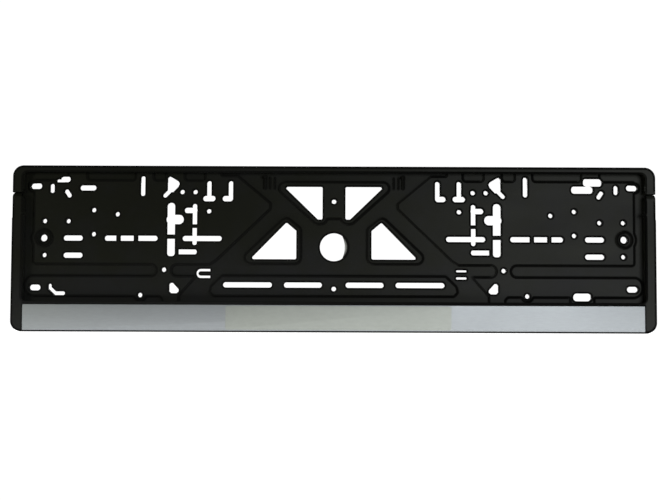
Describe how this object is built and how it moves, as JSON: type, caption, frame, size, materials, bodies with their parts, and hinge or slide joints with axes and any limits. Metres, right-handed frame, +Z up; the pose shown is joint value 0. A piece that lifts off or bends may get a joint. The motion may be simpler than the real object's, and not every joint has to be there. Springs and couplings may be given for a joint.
{
  "type": "number plate holder",
  "caption": "Moulded number plate holder: slotted tray with a top lip, and a hinged frame with a silver strip that clamps the plate.",
  "frame": {"origin": "centre of the four corner slots, on the back face that lies against the car", "axes": "+X to the right as seen from the front, +Y towards the car, +Z up"},
  "size_m": [0.539, 0.0114, 0.139],
  "materials": {
    "black_plastic": "moulded, satin, fine grain",
    "silver_strip": "satin metallic film",
    "plain_film": "satin, bare"
  },
  "bodies": {
    "tray": {"tray": "black_plastic"},
    "flap": {"flap": "black_plastic", "strip": "silver_strip", "label": "plain_film"}
  },
  "joints": [
    {"name": "flap_hinge", "type": "hinge", "parent": "tray", "child": "flap", "pos_m": [0, -0.0068, 0.0324], "axis": [-1, 0, 0], "range_deg": [0, 90]}
  ]
}
